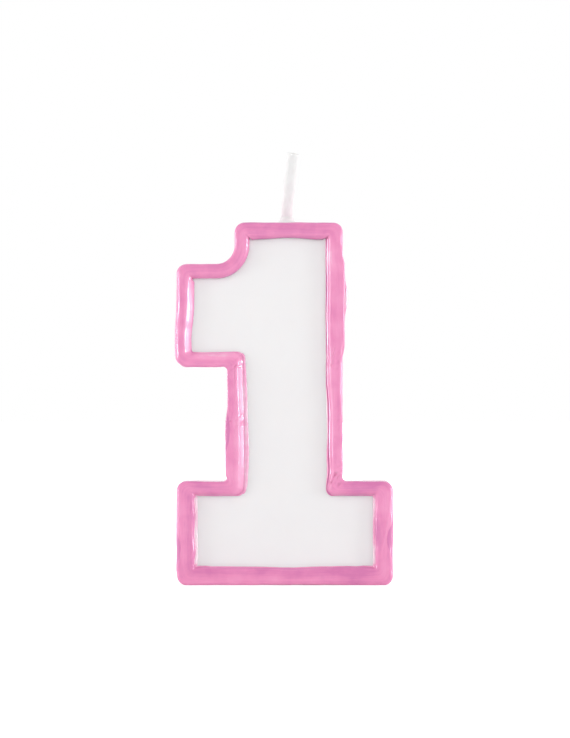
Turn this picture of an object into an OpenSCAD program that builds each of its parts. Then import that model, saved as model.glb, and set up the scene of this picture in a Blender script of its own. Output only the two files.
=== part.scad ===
// Number birthday candle: a white wax figure 1 with a coloured wax rim and a waxed, twisted cotton wick.
// The figure stands in the XZ plane, its front face towards -Y, with the origin at the middle of its base.

/* [Figure] */
// Height of the wax figure, without the wick
figure_h = 70; // [60:1:100]
// Width of the foot and of the figure's widest reach
foot_w = 41.8; // [36:0.2:60]
// Height of the foot
foot_h = 20.1; // [14:0.1:24]
// Width of the upright stem
stem_w = 22.3; // [18:0.1:26]
// Width of the top edge, from the stem's right side to the hollow curve
top_w = 20.9; // [17:0.1:21.5]
// Drop from the top edge to the flag's upper edge
flag_drop = 8; // [7:0.5:10]
// Height of the flag's free end
flag_h = 19.9; // [14:0.1:22]
// Thickness of the casting between its two flat faces
slab_t = 9.4; // [7:0.1:14]

/* [Corners] */
// Radius of the outward corners of the figure
outward_r = 1.9; // [1.2:0.1:2.2]
// Radius of the inward corners of the figure
inward_r = 0.8; // [0.4:0.1:1.4]
// Radius of the hollow curve between the top edge and the flag
hollow_r = 3.5; // [2.5:0.1:4]
// Radius of the outward corners of the flat face, inside the rim
face_outward_r = 0.4; // [0.2:0.05:0.8]
// Radius of the inward corners of the flat face, inside the rim
face_inward_r = 1.3; // [0.8:0.1:2]

/* [Rim] */
// Thickness of the wax band round the edge of the casting
band_t = 0.8; // [0.4:0.1:1]
// Height of the beads above the flat faces
bead_h = 1.3; // [0.8:0.1:2]
// Width of the beads along the stem
stem_bead_w = 3.3; // [2.2:0.1:4]
// Width of the beads along the base and both ends of the foot
foot_bead_w = 3.8; // [2.2:0.1:4.5]
// Width of the beads along the top edge, the flag and the ledges of the foot
ledge_bead_w = 2.9; // [2.2:0.1:3.3]

/* [Wick] */
// Outer radius of the waxed wick
wick_r = 1.1; // [0.8:0.05:1.5]
// Thickness of the wax coat on the wick
wick_coat_t = 0.13; // [0.1:0.01:0.2]
// Place of the wick across the top edge, from the middle of the base
wick_x = 0.35; // [-2:0.05:2]
// Height of the solid wax left under the wick
wick_floor = 8; // [4:0.5:20]
// Length of the wick above the figure
wick_free = 13.9; // [11:0.1:20]
// Length of wick that stands upright above its collar, before the bend
wick_upright = 0.4; // [0.1:0.1:2]
// Radius of the bend in the wick
wick_bend_r = 15; // [8:1:20]
// Lean of the wick past its bend, in degrees
wick_lean = 6.5; // [2:0.5:12]
// Clearance round the wick in its hole and in its collar
wick_gap = 0.05; // [0.02:0.01:0.1]
// Clearance between one ply and the next, and between the plies and the coat
ply_gap = 0.03; // [0.02:0.01:0.05]
// Length of one turn of the twisted plies
ply_pitch = 8; // [6:0.5:12]
// Length of bare ply that shows past the coat at the tip
ply_bare = 0.4; // [0.1:0.1:1.5]
// Reach of the wax collar's foot past the hole for the wick
collar_w = 0.6; // [0.4:0.05:1.2]
// Height of the wax collar
collar_h = 1.1; // [0.6:0.1:1.4]
// Thickness of the collar at its thin foot and at its thin top
collar_lip = 0.12; // [0.08:0.01:0.2]

/* [Hidden] */
$fn = 96;

white_wax = [0.94, 0.94, 0.94];
pink_wax = [0.93, 0.58, 0.75];
clear_wax = [0.95, 0.95, 0.94];
cotton = [0.97, 0.96, 0.93];

corner_steps = 7; // flats in each rounded corner
crown_steps = 12; // flats across a bead
crown_power = 2.3; // 2 makes the bead's crown an ellipse, and more makes it fuller
cut_over = 1; // how far a cut runs past the surface that it opens
coat_sides = 32;
bend_steps = 4; // flats along the bend in the wick
ply_count = 3;
ply_sides = 8;
ply_turn_steps = 12; // rings along one turn of a ply

foot_x = foot_w / 2;
stem_x = stem_w / 2;
neck_x = stem_x - top_w;
flag_top = figure_h - flag_drop;
flag_bottom = flag_top - flag_h;

wick_hole_r = wick_r + wick_gap;
wick_core_r = wick_r - wick_coat_t;
wick_upright_len = figure_h + collar_h + wick_upright - wick_floor;
wick_bend_len = wick_bend_r * wick_lean * PI / 180;
wick_len = figure_h + wick_free - wick_floor;
coat_len = wick_len - ply_bare;

// Three equal plies that touch one another fill a circle this many times their own radius.
ply_nest = 1 + 2 / sqrt(3);
ply_reach = wick_core_r - ply_gap;
ply_r = ply_reach / ply_nest - ply_gap / 2;
ply_axis_r = ply_reach - ply_r;
ply_rings = ceil(wick_len / ply_pitch * ply_turn_steps);

// ---- Outlines, in the plane of the figure ----

// A corner is [x, z, bead width along x, bead width along z, radius, radius inside the rim, turn]. The bead
// widths are signed towards the inside of the figure. The turn is 1 at an outward corner and -1 at an inward
// one. Every corner is square, and the corners run anticlockwise as seen from the front.
function outward(x, z, wx, wz) = [x, z, wx, wz, outward_r, face_outward_r, 1];
function inward(x, z, wx, wz) = [x, z, wx, wz, inward_r, face_inward_r, -1];
function hollow(x, z, wx, wz) = [x, z, wx, wz, hollow_r, hollow_r + ledge_bead_w, -1];

corners = [
    outward(-foot_x, 0, foot_bead_w, foot_bead_w),
    outward(foot_x, 0, -foot_bead_w, foot_bead_w),
    outward(foot_x, foot_h, -foot_bead_w, -ledge_bead_w),
    inward(stem_x, foot_h, -stem_bead_w, -ledge_bead_w),
    outward(stem_x, figure_h, -stem_bead_w, -ledge_bead_w),
    outward(neck_x, figure_h, ledge_bead_w, -ledge_bead_w),
    hollow(neck_x, flag_top, ledge_bead_w, -ledge_bead_w),
    outward(-foot_x, flag_top, ledge_bead_w, -ledge_bead_w),
    outward(-foot_x, flag_bottom, ledge_bead_w, ledge_bead_w),
    inward(-stem_x, flag_bottom, stem_bead_w, ledge_bead_w),
    inward(-stem_x, foot_h, stem_bead_w, -ledge_bead_w),
    outward(-foot_x, foot_h, foot_bead_w, -ledge_bead_w)
];

// Each corner as [point, radius]: part of the way across the bead, or a fixed depth inside the outline.
function corners_across(share) = [
    for (c = corners) [[c[0] + c[2] * share, c[1] + c[3] * share], c[4] + (c[5] - c[4]) * share]
];
function corners_inside(depth) = [
    for (c = corners) [[c[0] + sign(c[2]) * depth, c[1] + sign(c[3]) * depth], c[4] - c[6] * depth]
];

function toward(from, to) = (to - from) / norm(to - from);
function before(i, count) = (i + count - 1) % count;
function after(i, count) = (i + 1) % count;

// Closed outline through square corners, each rounded by a quarter circle.
function rounded(list) = [
    for (i = [0 : len(list) - 1])
        let (
            corner = list[i][0],
            radius = list[i][1],
            back = toward(corner, list[before(i, len(list))][0]),
            ahead = toward(corner, list[after(i, len(list))][0])
        )
        for (step = [0 : corner_steps])
            let (angle = 90 * step / corner_steps)
            corner + radius * (back * (1 - sin(angle)) + ahead * (1 - cos(angle)))
];

outer_outline = rounded(corners_inside(0));
seam_outline = rounded(corners_inside(band_t));

// Skin over rings of as many points each, where the last ring joins the first again.
module closed_skin(rings) {
    count = len(rings[0]);
    faces = [
        for (ring = [0 : len(rings) - 1])
            let (here = ring * count, there = after(ring, len(rings)) * count)
            for (i = [0 : count - 1])
                let (j = after(i, count))
                [here + i, there + i, there + j, here + j]
    ];
    polyhedron([for (ring = rings) each ring], faces, convexity = 6);
}

// ---- Beads ----

function crown_share(step) = (1 - cos(180 * step / crown_steps)) / 2;
function crown_height(share) = bead_h * pow(1 - pow(abs(2 * share - 1), crown_power), 1 / crown_power);

// The rings run across the crown from the outer outline, and the skin closes them along the flat face.
module bead() {
    closed_skin([
        for (step = [0 : crown_steps])
            let (
                share = crown_share(step),
                y = -slab_t / 2 - crown_height(share)
            )
            [for (point = rounded(corners_across(share))) [point[0], y, point[1]]]
    ]);
}

// ---- Wick ----

function wick_angle(s) =
    wick_lean * min(1, max(0, (s - wick_upright_len) / wick_bend_len));

// Point on the wick's middle line, a length s above its lower end.
function wick_point(s) =
    let (
        angle = wick_angle(s),
        past = max(0, s - wick_upright_len - wick_bend_len)
    )
    [
        wick_x + wick_bend_r * (1 - cos(angle)) + past * sin(angle),
        0,
        wick_floor + min(s, wick_upright_len) + wick_bend_r * sin(angle) + past * cos(angle)
    ];

function wick_across(s) = [cos(wick_angle(s)), 0, -sin(wick_angle(s))];

// Ring of points round a middle, square to the wick's middle line at the length s.
function wick_ring(middle, s, radius, sides) = [
    for (side = [0 : sides - 1])
        let (angle = 360 * side / sides)
        middle + radius * (cos(angle) * wick_across(s) + sin(angle) * [0, 1, 0])
];

module wick_hole() {
    translate([wick_x, 0, wick_floor])
        cylinder(r = wick_hole_r, h = figure_h - wick_floor + cut_over);
}

// Tube along the wick: its rings run up the outside and back down the inside.
module coat() {
    upward = [
        0,
        each [for (step = [0 : bend_steps]) wick_upright_len + wick_bend_len * step / bend_steps],
        coat_len
    ];
    downward = [for (i = [len(upward) - 1 : -1 : 0]) upward[i]];
    closed_skin(concat(
        [for (s = upward) wick_ring(wick_point(s), s, wick_r, coat_sides)],
        [for (s = downward) wick_ring(wick_point(s), s, wick_core_r, coat_sides)]
    ));
}

// One ply, twisted round the wick's middle line, with its rings square to that line.
module ply(index) {
    points = [
        for (ring = [0 : ply_rings])
            let (
                s = wick_len * ring / ply_rings,
                turn = 360 * (s / ply_pitch + index / ply_count),
                offset = ply_axis_r * (cos(turn) * wick_across(s) + sin(turn) * [0, 1, 0])
            )
            each wick_ring(wick_point(s) + offset, s, ply_r, ply_sides)
    ];
    walls = [
        for (ring = [0 : ply_rings - 1])
            for (side = [0 : ply_sides - 1])
                let (here = ring * ply_sides, next = after(side, ply_sides))
                [here + side, here + ply_sides + side, here + ply_sides + next, here + next]
    ];
    lower_end = [for (side = [0 : ply_sides - 1]) side];
    upper_end = [for (side = [ply_sides - 1 : -1 : 0]) ply_rings * ply_sides + side];
    polyhedron(points, concat(walls, [lower_end, upper_end]), convexity = 6);
}

// ---- Pieces ----

// Lays an outline in the plane of the figure and gives it the thickness of the casting.
module slab() {
    rotate([90, 0, 0])
        linear_extrude(slab_t, center = true)
            children();
}

module wax_body() {
    color(white_wax)
        difference() {
            slab()
                polygon(seam_outline);
            wick_hole();
        }
}

module edge_band() {
    color(pink_wax)
        difference() {
            slab()
                difference() {
                    polygon(outer_outline);
                    polygon(seam_outline);
                }
            wick_hole();
        }
}

module front_bead() {
    color(pink_wax)
        bead();
}

module rear_bead() {
    color(pink_wax)
        mirror([0, 1, 0])
            bead();
}

module wick_collar() {
    foot_r = wick_hole_r + collar_w;
    flare_w = collar_w - collar_lip;
    flare_h = collar_h - collar_lip;
    color(clear_wax)
        translate([wick_x, 0, figure_h])
            rotate_extrude()
                polygon(concat(
                    [[wick_hole_r, 0], [foot_r, 0]],
                    [
                        for (angle = [0 : 15 : 90])
                            [foot_r - flare_w * sin(angle), collar_lip + flare_h * (1 - cos(angle))]
                    ],
                    [[wick_hole_r, collar_h]]
                ));
}

module wick_coat() {
    color(clear_wax)
        coat();
}

module wick_ply(index) {
    color(cotton)
        ply(index);
}

wax_body();
edge_band();
front_bead();
rear_bead();
wick_collar();
wick_coat();
wick_ply(1);  // wick_ply_1
wick_ply(2);  // wick_ply_2
wick_ply(3);  // wick_ply_3
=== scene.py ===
import bmesh
import bpy
import math
from mathutils import Matrix, Vector, noise


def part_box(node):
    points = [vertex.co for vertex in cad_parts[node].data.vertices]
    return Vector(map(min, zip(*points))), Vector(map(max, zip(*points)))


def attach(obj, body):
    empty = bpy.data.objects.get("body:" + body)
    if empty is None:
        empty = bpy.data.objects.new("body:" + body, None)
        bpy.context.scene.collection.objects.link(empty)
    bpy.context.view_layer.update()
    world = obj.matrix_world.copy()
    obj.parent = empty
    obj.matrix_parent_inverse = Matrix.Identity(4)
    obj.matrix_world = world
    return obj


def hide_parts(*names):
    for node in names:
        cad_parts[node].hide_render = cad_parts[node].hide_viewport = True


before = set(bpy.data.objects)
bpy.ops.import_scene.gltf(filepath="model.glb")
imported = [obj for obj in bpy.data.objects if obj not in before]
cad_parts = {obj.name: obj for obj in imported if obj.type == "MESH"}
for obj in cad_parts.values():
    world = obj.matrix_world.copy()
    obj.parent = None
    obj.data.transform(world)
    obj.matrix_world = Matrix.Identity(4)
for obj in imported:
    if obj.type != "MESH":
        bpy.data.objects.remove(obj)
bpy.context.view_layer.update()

mm = 0.001  # every piece is drawn in millimetres and brought to metres at its end
strokeUnit = 100  # millimetres along or across a stroke that make one unit of the UV map "strokes"


# Sizes taken from the frame, in millimetres.
bandLow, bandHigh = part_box("edge_band")
beadLow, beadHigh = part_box("front_bead")
coatLow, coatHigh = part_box("wick_coat")
halfFoot = bandHigh.x / mm
figureHeight = bandHigh.z / mm
halfSlab = bandHigh.y / mm
beadHeight = (beadHigh.y - beadLow.y) / mm
wickFloor = coatLow.z / mm
wickRadius = coatHigh.y / mm
sizes = [round(size, 2) for size in (halfFoot * 2, figureHeight, halfSlab * 2)]
print("frame: foot, height and slab", sizes)


def blendValue(a, b, t):
    return a + (b - a) * t


def smoothStep(t):
    t = min(1.0, max(0.0, t))
    return t * t * (3 - 2 * t)


def swell(value, low, high):  # rises from 0 at low to 1 half way and back to 0 at high
    if not low < value < high:
        return 0.0
    return math.sin(math.pi * (value - low) / (high - low)) ** 2


def plateau(value, low, high, rampUp, rampDown):  # 1 between low and high, with soft ends inside them
    return smoothStep((value - low) / rampUp) * smoothStep((high - value) / rampDown)


def linearColor(code):  # an sRGB hex value as linear red, green, blue and alpha
    channels = [int(code[i:i + 2], 16) / 255 for i in (1, 3, 5)]
    return [c / 12.92 if c <= 0.04045 else ((c + 0.055) / 1.055) ** 2.4 for c in channels] + [1.0]


def addNode(tree, kind, inputs=None, **settings):
    node = tree.nodes.new("ShaderNode" + kind)
    for name, value in settings.items():
        setattr(node, name, value)
    for key, value in (inputs or {}).items():
        if isinstance(value, bpy.types.NodeSocket):
            tree.links.new(value, node.inputs[key])
        else:
            node.inputs[key].default_value = value
    return node


def addObject(name, data):
    made = bpy.data.objects.new(name, data)
    bpy.context.scene.collection.objects.link(made)
    return made


def startMaterial(name):
    material = bpy.data.materials.new(name)
    material.use_nodes = True
    tree = material.node_tree
    tree.nodes.clear()
    return material, tree


def finishPiece(bm, name, material, replaced):
    bmesh.ops.recalc_face_normals(bm, faces=bm.faces[:])
    bmesh.ops.scale(bm, vec=(mm, mm, mm), verts=bm.verts)
    mesh = bpy.data.meshes.new(name)
    bm.to_mesh(mesh)
    bm.free()
    mesh.shade_smooth()
    mesh.materials.append(material)
    piece = addObject(name, mesh)
    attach(piece, "root")
    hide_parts(*replaced)
    print("made", name, "with", len(mesh.polygons), "faces")
    return piece


# The camera: a long lens, square on to the front face.
view = {
    "lens": 250.0,
    "sensor": 36.0,
    "height": 142.3,  # what the picture's long side takes in at the front face, in millimetres
    "aim": 41.7,      # height that it looks at
    "nearest": 10.0,
}


def addCamera():
    data = bpy.data.cameras.new("camera")
    data.lens = view["lens"]
    data.sensor_width = view["sensor"]
    data.sensor_fit = "AUTO"
    data.clip_start = view["nearest"] * mm
    distance = view["height"] * view["lens"] / view["sensor"] + halfSlab
    camera = addObject("camera", data)
    camera.location = (0, -distance * mm, view["aim"] * mm)
    camera.rotation_euler = (math.radians(90), 0, 0)
    bpy.context.scene.camera = camera


addCamera()


# The lights: soft boxes at both sides and a white room.
studio = {
    "distance": 620.0,
    "boxHeight": 240.0,
    "hungAt": 0.6,        # share of the figure's height
    "boxes": [  # azimuth from the front in degrees, width, power in watts
        ("boxRightFront", 75, 230.0, 0.60),
        ("boxLeftFront", -75, 200.0, 0.55),
        ("stripRight", 73, 80.0, 1.00),
        ("stripLeft", -73, 80.0, 0.82),
        ("boxRightRear", 114, 160.0, 0.45),
        ("boxLeftRear", -114, 160.0, 0.45),
    ],
    "ambient": 1.19,      # from the horizon
    "overhead": 0.72,     # from straight above
}


def addSoftbox(name, azimuth, width, power):
    data = bpy.data.lights.new(name, "AREA")
    data.shape = "RECTANGLE"
    data.size = width * mm
    data.size_y = studio["boxHeight"] * mm
    data.energy = power
    box = addObject(name, data)
    turn = math.radians(azimuth)
    away = Vector((math.sin(turn), -math.cos(turn), 0))
    box.location = away * studio["distance"] * mm + Vector((0, 0, figureHeight * studio["hungAt"] * mm))
    box.rotation_euler = (math.radians(90), 0, turn)
    box.visible_camera = False


for softbox in studio["boxes"]:
    addSoftbox(*softbox)


# 1 for a ray that the camera, a glossy surface or a clear body sends out, and 0 for any other.
def findSeenRays(tree):
    rays = addNode(tree, "LightPath")
    seen = rays.outputs["Is Camera Ray"]
    for kind in ("Is Glossy Ray", "Is Transmission Ray"):
        seen = addNode(tree, "Math", {
            0: seen,
            1: rays.outputs[kind],
        }, operation="ADD", use_clamp=True).outputs[0]
    return seen


def makeWorld():
    world = bpy.data.worlds.new("whiteStudio")
    bpy.context.scene.world = world
    world.use_nodes = True
    tree = world.node_tree
    tree.nodes.clear()
    heading = addNode(tree, "TexCoord")
    split = addNode(tree, "SeparateXYZ", {0: heading.outputs["Generated"]})
    level = addNode(tree, "MapRange", {
        "Value": split.outputs["Z"],
        "To Min": studio["ambient"],
        "To Max": studio["overhead"],
    })
    ambient, white = [addNode(tree, "Background", {"Color": (1, 1, 1, 1), "Strength": strength})
                      for strength in (level.outputs[0], 1.0)]
    mixed = addNode(tree, "MixShader", {0: findSeenRays(tree), 1: ambient.outputs[0], 2: white.outputs[0]})
    addNode(tree, "OutputWorld", {"Surface": mixed.outputs[0]})


makeWorld()
print("camera and lights are up")


# Values of the pink wax, in millimetres unless they are colours.
pinkFinish = {
    "veil": "#fbe6f0",            # a smear so thin that the white wax shows through
    "layers": [                   # each colour, and the value of the pigment-and-painted-light attribute where it sets in and holds
        ("#f49cc7", -0.6, -0.1),  # where the brush left it thin, and painted highlights on some inner slopes
        ("#ea87b9", 0.0, 0.5),    # the even coat
        ("#d570ab", 0.5, 1.0),    # where the pigment pools, and painted shade on slopes that face up and along the shaded border streaks
        ("#b35f90", 1.25, 1.9),   # paint caught in a crevice, darkened further as painted shade there
    ],
    "streakSwing": 0.12,
    "mottleSwing": 0.2,
    "strokeLength": 9.0,
    "strokeWidth": 0.42,          # bristle streaks are finer than this, so they are drawn coarser to show
    "mottle": 3.2,
    "grain": 0.28,                # the skin's grain, drawn coarser as well
}


# Pigmented candle wax brushed on warm: the pigment streaks along the stroke, and the skin sets glossy over
# ripples. The mesh gives, as an attribute, how thickly it lies together with painted shade (in creases,
# furrows, shaded border streaks and on slopes that face up) and painted highlights on some inner slopes: the
# eye sees pale smears, even pink and mauve pools.
def makeBrushedPinkWax():
    material, tree = startMaterial("brushedPinkWax")
    strokes = addNode(tree, "UVMap", uv_map="strokes")
    stretched = addNode(tree, "Mapping", {
        "Vector": strokes.outputs[0],
        "Scale": (strokeUnit / pinkFinish["strokeLength"], strokeUnit / pinkFinish["strokeWidth"], 1),
    })
    streak = addNode(tree, "TexNoise", {
        "Vector": stretched.outputs[0],
        "Scale": 1.0,
        "Detail": 3.0,
        "Roughness": 0.6,
    }, noise_dimensions="2D")
    place = addNode(tree, "TexCoord")
    mottle, grain = [addNode(tree, "TexNoise", {
        "Vector": place.outputs["Object"],
        "Scale": 1 / (pinkFinish[size] * mm),
        "Detail": detail,
    }) for size, detail in (("mottle", 4.0), ("grain", 2.0))]
    # The attribute read here is the pigment's thickness with painted shade and painted highlights added into
    # it.
    thickness = addNode(tree, "Attribute", attribute_name="pigmentAndPaintedLight").outputs["Fac"]
    for pattern, swing in ((streak, pinkFinish["streakSwing"]), (mottle, pinkFinish["mottleSwing"])):
        unevenness = addNode(tree, "MapRange", {
            "Value": pattern.outputs["Fac"],
            "From Min": 0.3,
            "From Max": 0.7,
            "To Min": -swing,
            "To Max": swing,
        })
        thickness = addNode(tree, "Math", {
            0: thickness,
            1: unevenness.outputs[0],
        }, operation="ADD").outputs[0]
    color = linearColor(pinkFinish["veil"])
    for code, setsIn, holds in pinkFinish["layers"]:
        share = addNode(tree, "MapRange", {"Value": thickness, "From Min": setsIn, "From Max": holds})
        color = addNode(tree, "Mix", {
            0: share.outputs[0],
            6: color,
            7: linearColor(code),
        }, data_type="RGBA").outputs[2]
    roughness = addNode(tree, "MapRange", {
        "Value": streak.outputs["Fac"],
        "From Min": 0.3,
        "From Max": 0.7,
        "To Min": 0.26,
        "To Max": 0.42,
    })
    ripple = addNode(tree, "Bump", {
        "Height": streak.outputs["Fac"],
        "Strength": 0.25,
        "Distance": 0.02 * mm,
    })
    skin = addNode(tree, "Bump", {
        "Height": grain.outputs["Fac"],
        "Strength": 0.12,
        "Distance": 0.02 * mm,
        "Normal": ripple.outputs[0],
    })
    wax = addNode(tree, "BsdfPrincipled", {
        "Base Color": color,
        "Roughness": roughness.outputs[0],
        "IOR": 1.45,
        "Subsurface Weight": 0.12,
        "Subsurface Radius": (1.0, 0.45, 0.6),
        "Subsurface Scale": 0.6 * mm,
        "Coat Weight": 0.9,
        "Coat Roughness": 0.07,
        "Coat IOR": 1.5,
        "Normal": skin.outputs[0],
        "Coat Normal": skin.outputs[0],
    })
    addNode(tree, "OutputMaterial", {"Surface": wax.outputs[0]})
    return material


castFinish = {
    "body": "#f3f2f2",
    "cloud": "#eeedee",
    "cloudSize": 9.0,  # millimetres, as the two below
    "ripple": 4.0,
    "pore": 0.35,      # the skin's pores are finer, and are drawn coarser to show
}


# Paraffin poured into a mould: milky, even and satin, with faint clouding and a skin that isn't quite flat.
def makeCastParaffin():
    material, tree = startMaterial("castParaffin")
    place = addNode(tree, "TexCoord")
    cloud, ripple, pore = [addNode(tree, "TexNoise", {
        "Vector": place.outputs["Object"],
        "Scale": 1 / (castFinish[size] * mm),
        "Detail": detail,
    }) for size, detail in (("cloudSize", 3.0), ("ripple", 1.0), ("pore", 2.0))]
    color = addNode(tree, "Mix", {
        0: cloud.outputs["Fac"],
        6: linearColor(castFinish["cloud"]),
        7: linearColor(castFinish["body"]),
    }, data_type="RGBA")
    roughness = addNode(tree, "MapRange", {
        "Value": cloud.outputs["Fac"],
        "From Min": 0.3,
        "From Max": 0.7,
        "To Min": 0.42,
        "To Max": 0.52,
    })
    wave = addNode(tree, "Bump", {"Height": ripple.outputs["Fac"], "Strength": 0.3, "Distance": 0.12 * mm})
    skin = addNode(tree, "Bump", {
        "Height": pore.outputs["Fac"],
        "Strength": 0.08,
        "Distance": 0.02 * mm,
        "Normal": wave.outputs[0],
    })
    wax = addNode(tree, "BsdfPrincipled", {
        "Base Color": color.outputs[2],
        "Roughness": roughness.outputs[0],
        "IOR": 1.43,
        "Subsurface Weight": 0.5,
        "Subsurface Radius": (1.0, 0.92, 0.88),
        "Subsurface Scale": 1.8 * mm,
        "Normal": skin.outputs[0],
    })
    addNode(tree, "OutputMaterial", {"Surface": wax.outputs[0]})
    return material


wickFinish = {
    "wax": "#eeeeed",
    "dry": "#f3f3f2",
    "drip": 1.6,
    "yarnShade": "#ebe8e2",
    "yarn": "#f5f3ef",
    "fibreLength": 2.0,
    "fibre": 0.12,     # cotton fibres are about 0.02 mm thick, so they are drawn coarser to show
}


# Clear wax soaked into and over cotton: off-white, satin, a little lumpy where it set.
def makeDippedWax():
    material, tree = startMaterial("dippedWickWax")
    place = addNode(tree, "TexCoord")
    drip = addNode(tree, "TexNoise", {
        "Vector": place.outputs["Object"],
        "Scale": 1 / (wickFinish["drip"] * mm),
        "Detail": 3.0,
    })
    color = addNode(tree, "Mix", {
        0: drip.outputs["Fac"],
        6: linearColor(wickFinish["wax"]),
        7: linearColor(wickFinish["dry"]),
    }, data_type="RGBA")
    roughness = addNode(tree, "MapRange", {"Value": drip.outputs["Fac"], "To Min": 0.6, "To Max": 0.8})
    skin = addNode(tree, "Bump", {"Height": drip.outputs["Fac"], "Strength": 0.3, "Distance": 0.08 * mm})
    wax = addNode(tree, "BsdfPrincipled", {
        "Base Color": color.outputs[2],
        "Roughness": roughness.outputs[0],
        "IOR": 1.43,
        "Specular IOR Level": 0.12,
        "Subsurface Weight": 0.2,
        "Subsurface Radius": (1.0, 0.95, 0.9),
        "Subsurface Scale": 0.5 * mm,
        "Normal": skin.outputs[0],
    })
    addNode(tree, "OutputMaterial", {"Surface": wax.outputs[0]})
    return material


# Cotton yarn: matte, slightly creamy, its fibres running along the ply.
def makeCottonYarn():
    material, tree = startMaterial("cottonYarn")
    lengthwise = addNode(tree, "UVMap", uv_map="strokes")
    stretched = addNode(tree, "Mapping", {
        "Vector": lengthwise.outputs[0],
        "Scale": (strokeUnit / wickFinish["fibreLength"], strokeUnit / wickFinish["fibre"], 1),
    })
    fibre = addNode(tree, "TexNoise", {
        "Vector": stretched.outputs[0],
        "Scale": 1.0,
        "Detail": 2.0,
    }, noise_dimensions="2D")
    color = addNode(tree, "Mix", {
        0: fibre.outputs["Fac"],
        6: linearColor(wickFinish["yarnShade"]),
        7: linearColor(wickFinish["yarn"]),
    }, data_type="RGBA")
    relief = addNode(tree, "Bump", {"Height": fibre.outputs["Fac"], "Strength": 0.6, "Distance": 0.05 * mm})
    yarn = addNode(tree, "BsdfPrincipled", {
        "Base Color": color.outputs[2],
        "Roughness": 0.85,
        "Sheen Weight": 0.3,
        "Normal": relief.outputs[0],
    })
    addNode(tree, "OutputMaterial", {"Surface": yarn.outputs[0]})
    return material


brushedPinkWax = makeBrushedPinkWax()
castParaffin = makeCastParaffin()
dippedWickWax = makeDippedWax()
cottonYarn = makeCottonYarn()
print("materials are ready")


# The outline that every part of the figure follows, in millimetres, as the frame was built.
figure = {
    "footHeight": 20.1,
    "stemWidth": 22.3,
    "topWidth": 20.9,
    "flagDrop": 8.0,
    "flagHeight": 19.9,
    "outwardRadius": 1.9,
    "inwardRadius": 0.8,
    "hollowRadius": 3.5,
    "faceOutwardRadius": 0.4,
    "faceInwardRadius": 1.3,
    "stemBead": 3.3,
    "footBead": 3.8,
    "ledgeBead": 2.9,
    "bandThickness": 0.8,
}


# A corner's place, its way in across the bead, its radius outside and inside it, its turn and its flats.
def outlineCorner(x, z, wx, wz, kind):
    radii = {
        "outward": (figure["outwardRadius"], figure["faceOutwardRadius"], 1, 10),
        "inward": (figure["inwardRadius"], figure["faceInwardRadius"], -1, 8),
        "hollow": (figure["hollowRadius"], figure["hollowRadius"] + figure["ledgeBead"], -1, 28),
    }[kind]
    return (Vector((x, 0, z)), Vector((wx, 0, wz)), *radii)


def outlineCorners():
    stem = figure["stemWidth"] / 2
    foot = figure["footHeight"]
    neck = stem - figure["topWidth"]
    flagTop = figureHeight - figure["flagDrop"]
    flagBottom = flagTop - figure["flagHeight"]
    stemBead, footBead, ledge = figure["stemBead"], figure["footBead"], figure["ledgeBead"]
    return [
        outlineCorner(-halfFoot, 0, footBead, footBead, "outward"),
        outlineCorner(halfFoot, 0, -footBead, footBead, "outward"),
        outlineCorner(halfFoot, foot, -footBead, -ledge, "outward"),
        outlineCorner(stem, foot, -stemBead, -ledge, "inward"),
        outlineCorner(stem, figureHeight, -stemBead, -ledge, "outward"),
        outlineCorner(neck, figureHeight, ledge, -ledge, "outward"),
        outlineCorner(neck, flagTop, ledge, -ledge, "hollow"),
        outlineCorner(-halfFoot, flagTop, ledge, -ledge, "outward"),
        outlineCorner(-halfFoot, flagBottom, ledge, ledge, "outward"),
        outlineCorner(-stem, flagBottom, stemBead, ledge, "inward"),
        outlineCorner(-stem, foot, stemBead, -ledge, "inward"),
        outlineCorner(-halfFoot, foot, footBead, -ledge, "outward"),
    ]


corners = outlineCorners()
runNames = ["bottom", "footRight", "ledgeRight", "stemRight", "top", "neck",
            "flagTop", "flagLeft", "flagBottom", "stemLeft", "ledgeLeft", "footLeft"]
uprightRuns = {"footRight", "stemRight", "neck", "flagLeft", "stemLeft", "footLeft"}


# Draws the outline part of the way across the bead, or a fixed depth inside it, and rounds its corners.
def drawOutline(bm, y, share=0.0, depth=0.0, keepFace=False):
    verts, radii = [], []
    for place, wayIn, outerRadius, faceRadius, turn, flats in corners:
        step = Vector((math.copysign(depth, wayIn.x), 0, math.copysign(depth, wayIn.z)))
        verts.append(bm.verts.new(place + wayIn * share + step + Vector((0, y, 0))))
        radii.append(blendValue(outerRadius, faceRadius, share) - turn * depth)
    known = set(bm.faces)
    bm.faces.new(verts)
    for vert, radius, corner in zip(verts, radii, corners):
        bmesh.ops.bevel(bm, geom=[vert], offset=radius, offset_type="OFFSET", affect="VERTICES",
                        segments=corner[5], profile=0.5, material=-1, clamp_overlap=False)
    face = [f for f in bm.faces if f not in known][0]
    edges = list(face.edges)
    if not keepFace:
        bmesh.ops.delete(bm, geom=[face], context="FACES_ONLY")
    return edges


# Walks a closed ring of edges anticlockwise as seen from the front, from the lower left corner.
def walkRing(edges):
    linked = {}
    for edge in edges:
        for vert in edge.verts:
            linked.setdefault(vert, []).append(edge)
    start = min(linked, key=lambda v: v.co.x + v.co.z)
    edge = max(linked[start], key=lambda e: e.other_vert(start).co.x)
    ring, vert = [start], edge.other_vert(start)
    while vert is not start:
        ring.append(vert)
        edge = [e for e in linked[vert] if e is not edge][0]
        vert = edge.other_vert(vert)
    return ring


# What a strip's points carry: how far along the stroke they lie, down its middle and down its first ring,
# their share of the way across, their millimetres across, and how thickly the pigment lies on them, with
# painted shade and painted highlights added in.
strokeLayers = ("along", "border", "across", "acrossLength", "pigmentAndPaintedLight")


def findLayers(bm):
    return [bm.verts.layers.float[name] for name in strokeLayers]


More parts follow.
